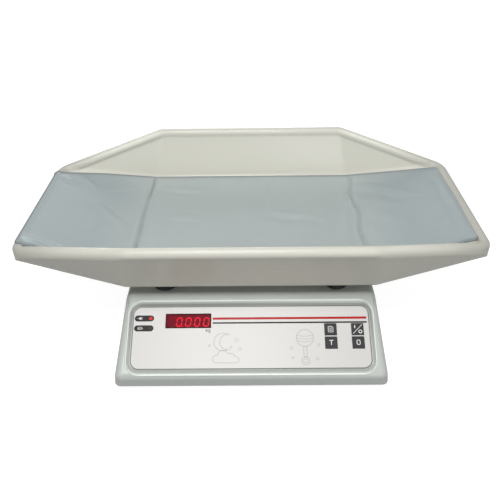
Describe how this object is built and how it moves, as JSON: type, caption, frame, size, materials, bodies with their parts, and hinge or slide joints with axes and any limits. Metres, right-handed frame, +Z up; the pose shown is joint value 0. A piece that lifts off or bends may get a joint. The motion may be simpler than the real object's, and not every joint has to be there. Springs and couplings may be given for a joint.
{
  "type": "baby weighing scale",
  "caption": "Baby weighing scale: a low casing with a sloped key and display panel, and a wide faceted bowl tray with a soft mat that lifts off the platform.",
  "frame": {"origin": "on the table under the middle of the whole scale's box", "axes": "+X to the user's right along the tray, +Y away from the user, +Z up"},
  "size_m": [0.55, 0.3688, 0.1513],
  "materials": {
    "casing_plastic": "satin light grey moulded plastic",
    "tray_plastic": "glossy warm white moulded plastic",
    "mat_vinyl": "soft blue-grey coated cloth with a faint sheen",
    "label_film": "silvery white printed film, satin",
    "red_window": "deep red tinted acrylic, glossy",
    "lit_red": "glowing red",
    "dark_red": "unlit dark red lens",
    "key_plastic": "charcoal, fine matt",
    "black_plastic": "black moulded plastic",
    "rubber": "matt black rubber",
    "zinc_steel": "zinc plated",
    "aluminium": "as machined",
    "circuit_board": "green solder mask",
    "battery_case": "dark grey moulded case",
    "transformer_iron": "varnished laminations",
    "ribbon_grey": "grey flat cable"
  },
  "bodies": {
    "base": {"battery": "battery_case", "battery_lamp": "dark_red", "battery_strap": "zinc_steel", "board_parts": "black_plastic", "board_pillars": "black_plastic", "board_screws": "zinc_steel", "casing_base": "casing_plastic", "casing_cover": "casing_plastic", "cell_base_screws": "zinc_steel", "cell_spacer_low": "aluminium", "cover_screws": "zinc_steel", "display_block": "black_plastic", "display_segments": "lit_red", "display_window": "red_window", "foot_nuts": "zinc_steel", "front_board": "circuit_board", "inlet_pins": "zinc_steel", "key_switches": "black_plastic", "load_cell": "aluminium", "main_board": "circuit_board", "mains_lamp": "lit_red", "overload_stops": "zinc_steel", "panel_label": "label_film", "power_inlet": "black_plastic", "ribbon_cable": "ribbon_grey", "steel_frame": "zinc_steel", "transformer": "transformer_iron"},
    "platform": {"cell_spacer_top": "aluminium", "platform_spider": "aluminium", "platform_screws": "zinc_steel", "platform_posts": "zinc_steel", "rubber_caps": "rubber"},
    "tray": {"tray_shell": "tray_plastic"},
    "mat": {"mat": "mat_vinyl"},
    "key_print": {"key_print": "key_plastic"},
    "key_power": {"key_power": "key_plastic"},
    "key_tare": {"key_tare": "key_plastic"},
    "key_zero": {"key_zero": "key_plastic"},
    "pad_front_left": {"foot_pad_front_left": "rubber"},
    "stud_front_left": {"foot_stud_front_left": "zinc_steel"},
    "pad_front_right": {"foot_pad_front_right": "rubber"},
    "stud_front_right": {"foot_stud_front_right": "zinc_steel"},
    "pad_back_left": {"foot_pad_back_left": "rubber"},
    "stud_back_left": {"foot_stud_back_left": "zinc_steel"},
    "pad_back_right": {"foot_pad_back_right": "rubber"},
    "stud_back_right": {"foot_stud_back_right": "zinc_steel"}
  },
  "joints": [
    {"name": "weigh_deflection", "type": "slide", "parent": "base", "child": "platform", "axis": [0, 0, -1], "range_m": [0, 0.0005], "stiffness_N_per_m": 300000, "deforming": ["load_cell"]},
    {"name": "tray_lift_off", "type": "slide", "parent": "platform", "child": "tray", "axis": [0, 0, 1], "range_m": [0, 0.08]},
    {"name": "mat_lift_out", "type": "slide", "parent": "tray", "child": "mat", "axis": [0, 0, 1], "range_m": [0, 0.1]},
    {"name": "print_key_press", "type": "slide", "parent": "base", "child": "key_print", "axis": [0, 0.5299, -0.848], "range_m": [0, 0.0004], "stiffness_N_per_m": 1500, "springref_m": -0.0004},
    {"name": "power_key_press", "type": "slide", "parent": "base", "child": "key_power", "axis": [0, 0.5299, -0.848], "range_m": [0, 0.0004], "stiffness_N_per_m": 1500, "springref_m": -0.0004},
    {"name": "tare_key_press", "type": "slide", "parent": "base", "child": "key_tare", "axis": [0, 0.5299, -0.848], "range_m": [0, 0.0004], "stiffness_N_per_m": 1500, "springref_m": -0.0004},
    {"name": "zero_key_press", "type": "slide", "parent": "base", "child": "key_zero", "axis": [0, 0.5299, -0.848], "range_m": [0, 0.0004], "stiffness_N_per_m": 1500, "springref_m": -0.0004},
    {"name": "foot_height_front_left", "type": "slide", "parent": "base", "child": "pad_front_left", "axis": [0, 0, -1], "range_m": [0, 0.006]},
    {"name": "foot_turn_front_left", "type": "hinge", "parent": "pad_front_left", "child": "stud_front_left", "pos_m": [-0.128, -0.1519, 0.0025], "axis": [0, 0, -1], "range_deg": [0, 1730]},
    {"name": "foot_height_front_right", "type": "slide", "parent": "base", "child": "pad_front_right", "axis": [0, 0, -1], "range_m": [0, 0.006]},
    {"name": "foot_turn_front_right", "type": "hinge", "parent": "pad_front_right", "child": "stud_front_right", "pos_m": [0.128, -0.1519, 0.0025], "axis": [0, 0, -1], "range_deg": [0, 1730]},
    {"name": "foot_height_back_left", "type": "slide", "parent": "base", "child": "pad_back_left", "axis": [0, 0, -1], "range_m": [0, 0.006]},
    {"name": "foot_turn_back_left", "type": "hinge", "parent": "pad_back_left", "child": "stud_back_left", "pos_m": [-0.128, 0.1261, 0.0025], "axis": [0, 0, -1], "range_deg": [0, 1730]},
    {"name": "foot_height_back_right", "type": "slide", "parent": "base", "child": "pad_back_right", "axis": [0, 0, -1], "range_m": [0, 0.006]},
    {"name": "foot_turn_back_right", "type": "hinge", "parent": "pad_back_right", "child": "stud_back_right", "pos_m": [0.128, 0.1261, 0.0025], "axis": [0, 0, -1], "range_deg": [0, 1730]}
  ],
  "couplings": [
    {"joint": "foot_turn_front_left", "follows": "foot_height_front_left", "rad_per_m": 5026.5},
    {"joint": "foot_turn_front_right", "follows": "foot_height_front_right", "rad_per_m": 5026.5},
    {"joint": "foot_turn_back_left", "follows": "foot_height_back_left", "rad_per_m": 5026.5},
    {"joint": "foot_turn_back_right", "follows": "foot_height_back_right", "rad_per_m": 5026.5}
  ]
}
